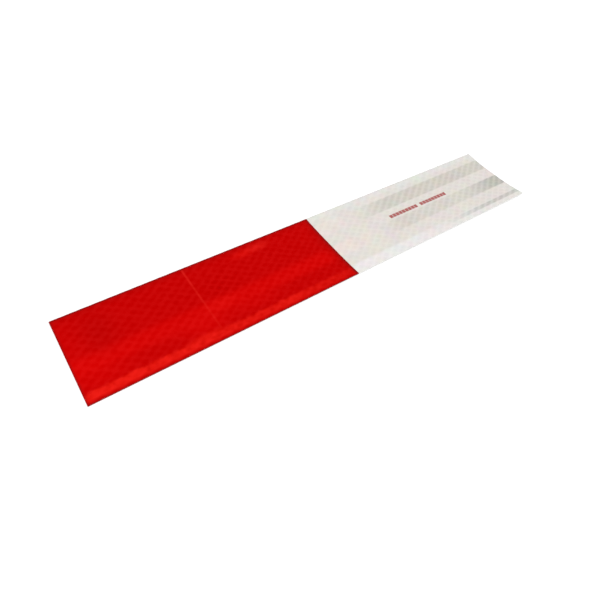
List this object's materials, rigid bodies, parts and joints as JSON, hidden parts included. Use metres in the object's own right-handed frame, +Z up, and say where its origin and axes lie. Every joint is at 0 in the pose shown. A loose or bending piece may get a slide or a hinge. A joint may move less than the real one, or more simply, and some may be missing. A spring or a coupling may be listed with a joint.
{
  "type": "reflective tape strip",
  "caption": "Self-adhesive retroreflective marking strip for a vehicle's rear, one half red and one half white, lying face up with its long edges slightly curled.",
  "frame": {"origin": "middle of the underside, on the surface that the strip lies on", "axes": "+X along the strip towards its white end, +Y across it, +Z up, out of its reflecting face"},
  "size_m": [0.3, 0.05, 0.0019],
  "materials": {
    "white_film": "white microprismatic reflective film, smooth and glossy over a lattice of sealed cells",
    "red_ink": "transparent red screen ink over the same film, glossy",
    "mark_ink": "dark red print"
  },
  "bodies": {
    "root": {"reflective_sheet": "white_film", "red_print": "red_ink", "print_marks": "mark_ink"}
  },
  "joints": []
}
